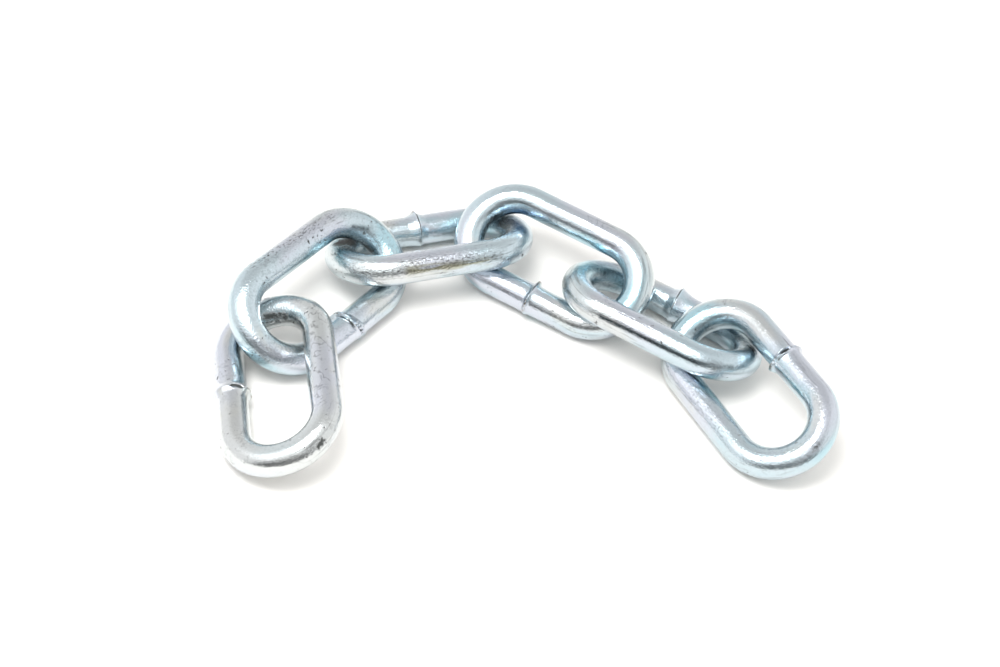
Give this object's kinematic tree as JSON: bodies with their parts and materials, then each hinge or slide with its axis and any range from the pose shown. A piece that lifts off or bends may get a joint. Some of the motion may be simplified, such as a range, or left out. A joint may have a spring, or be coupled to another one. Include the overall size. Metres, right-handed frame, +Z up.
{
  "type": "short length of welded steel chain",
  "caption": "Short length of straight-link welded steel chain lying loosely in an arch, its links threaded through each other and free to rock.",
  "frame": {"origin": "middle of the chain's outer box, on the level surface that it lies on", "axes": "+Z up; +X along the chain's longest way across, towards its right end; +Y to the back, towards the top of the arch"},
  "size_m": [0.0971, 0.0644, 0.0133],
  "materials": {
    "bright_zinc": "bright bluish zinc plate, glossy, with fine pits and a duller, rougher collar at each weld"
  },
  "bodies": {
    "link_1": {"link_1": "bright_zinc"},
    "link_2": {"link_2": "bright_zinc"},
    "link_3": {"link_3": "bright_zinc"},
    "link_4": {"link_4": "bright_zinc"},
    "link_5": {"link_5": "bright_zinc"},
    "link_6": {"link_6": "bright_zinc"}
  },
  "joints": [
    {"name": "link_2_lift", "type": "hinge", "parent": "link_3", "child": "link_2", "pos_m": [-0.02369, 0.01174, 0.00339], "axis": [0.0599, 0.9579, 0.2808], "range_deg": [0, 55]},
    {"name": "link_1_lift", "type": "hinge", "parent": "link_2", "child": "link_1", "pos_m": [-0.04393, -0.00233, 0.00409], "axis": [-0.6685, -0.6681, -0.3266], "range_deg": [0, 35]},
    {"name": "link_4_lift", "type": "hinge", "parent": "link_3", "child": "link_4", "pos_m": [-0.00979, 0.0181, 0.00331], "axis": [0.7415, -0.6387, -0.2058], "range_deg": [0, 60]},
    {"name": "link_5_lift", "type": "hinge", "parent": "link_4", "child": "link_5", "pos_m": [0.00946, 0.02011, 0.00436], "axis": [-0.8253, -0.4674, 0.3168], "range_deg": [0, 90]},
    {"name": "link_6_lift", "type": "hinge", "parent": "link_5", "child": "link_6", "pos_m": [0.02396, 0.00332, 0.00265], "axis": [0.3363, -0.9313, -0.1403], "range_deg": [0, 65]}
  ]
}
